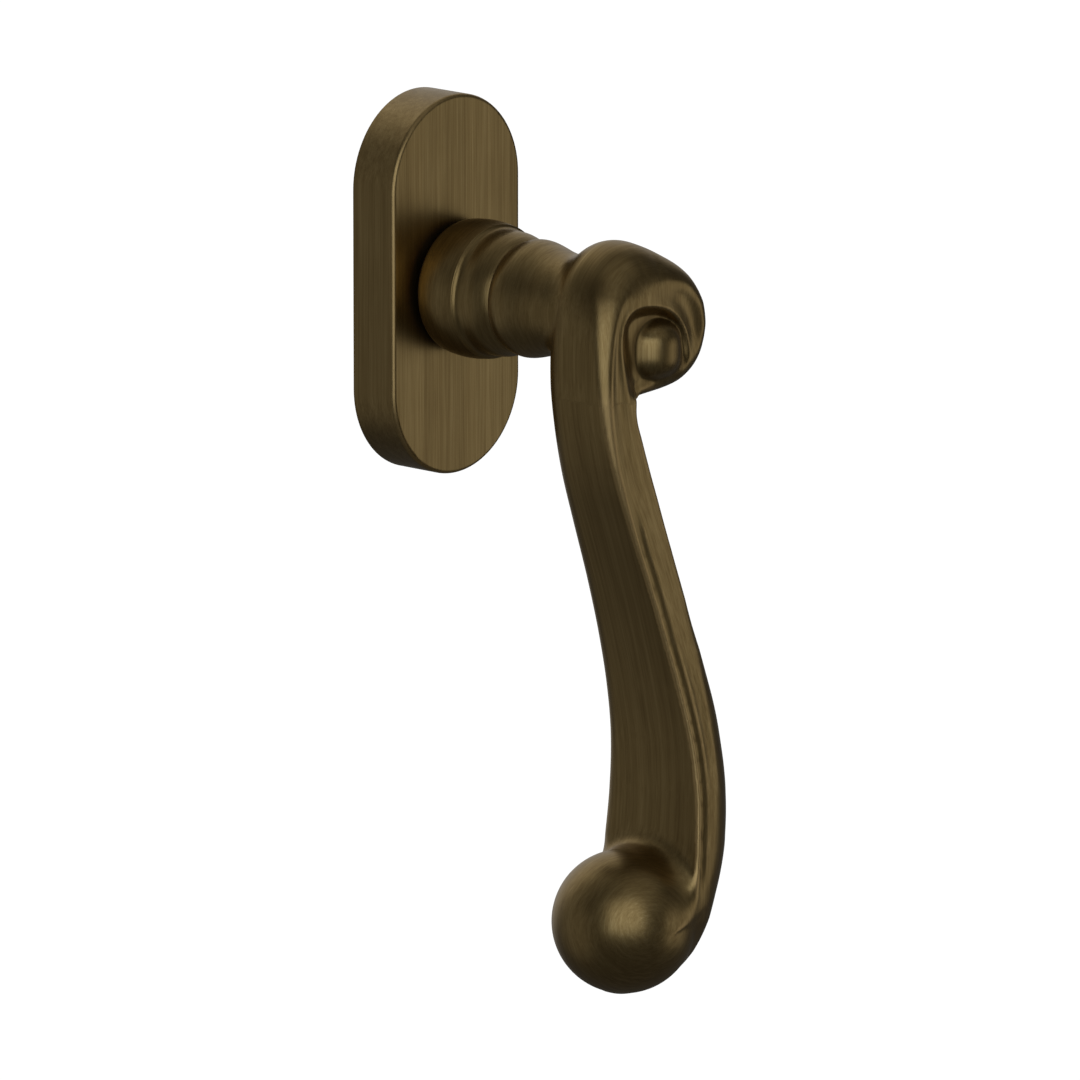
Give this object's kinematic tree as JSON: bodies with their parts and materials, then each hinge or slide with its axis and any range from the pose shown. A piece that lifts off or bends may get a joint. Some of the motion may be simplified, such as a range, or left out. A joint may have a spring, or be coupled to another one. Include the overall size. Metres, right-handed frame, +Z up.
{
  "type": "window handle",
  "caption": "Antique brass window handle: scrolled lever with a ball end on a turned neck, oval rosette over a spring-detent base, square spindle and fixing screws.",
  "frame": {"origin": "on the handle's turning axis, in the plane of the window frame that the rosette sits on", "axes": "-Y out of the window frame towards the room, +Y along the spindle into the frame, +Z up along the rosette with the lever hanging down towards -Z, +X to the right as seen from the room"},
  "size_m": [0.0398, 0.0969, 0.1611],
  "materials": {
    "antique_brass": "brushed, darkened antique brass under clear lacquer",
    "cast_zinc": "raw die-cast zinc, satin",
    "zinc_plated_steel": "bright zinc plate",
    "spring_steel": "rolled spring steel",
    "turned_steel": "turned and drawn steel",
    "polished_steel": "ground and polished bearing steel",
    "black_steel": "black-oxide steel",
    "black_nylon": "moulded nylon, matte"
  },
  "bodies": {
    "base": {"base_plate": "cast_zinc", "back_plate": "zinc_plated_steel", "back_plate_screws": "zinc_plated_steel", "bearing_bush": "black_nylon", "thrust_washer": "black_nylon", "cover_clips": "spring_steel", "rosette_cover": "antique_brass", "cover_guide_ring": "black_nylon", "detent_spring_upper": "spring_steel", "detent_spring_lower": "spring_steel", "detent_plugs": "zinc_plated_steel", "fixing_screws": "zinc_plated_steel"},
    "handle": {"lever": "antique_brass", "neck_collar": "antique_brass", "lever_grub_screw": "black_steel", "driver_shank": "turned_steel", "detent_disc": "turned_steel", "retaining_ring": "spring_steel", "square_spindle": "turned_steel", "spindle_pin": "spring_steel"},
    "ball_upper": {"detent_ball_upper": "polished_steel"},
    "ball_lower": {"detent_ball_lower": "polished_steel"}
  },
  "joints": [
    {"name": "handle_turn", "type": "hinge", "parent": "base", "child": "handle", "pos_m": [0, 0, 0], "axis": [0, -1, 0], "range_deg": [0, 180]},
    {"name": "ball_upper_travel", "type": "slide", "parent": "base", "child": "ball_upper", "axis": [0, 0, 1], "range_m": [-0.0007, 0], "stiffness_N_per_m": 1500, "springref_m": -0.002, "deforming": ["detent_spring_upper"]},
    {"name": "ball_lower_travel", "type": "slide", "parent": "base", "child": "ball_lower", "axis": [0, 0, -1], "range_m": [-0.0007, 0], "stiffness_N_per_m": 1500, "springref_m": -0.002, "deforming": ["detent_spring_lower"]}
  ]
}
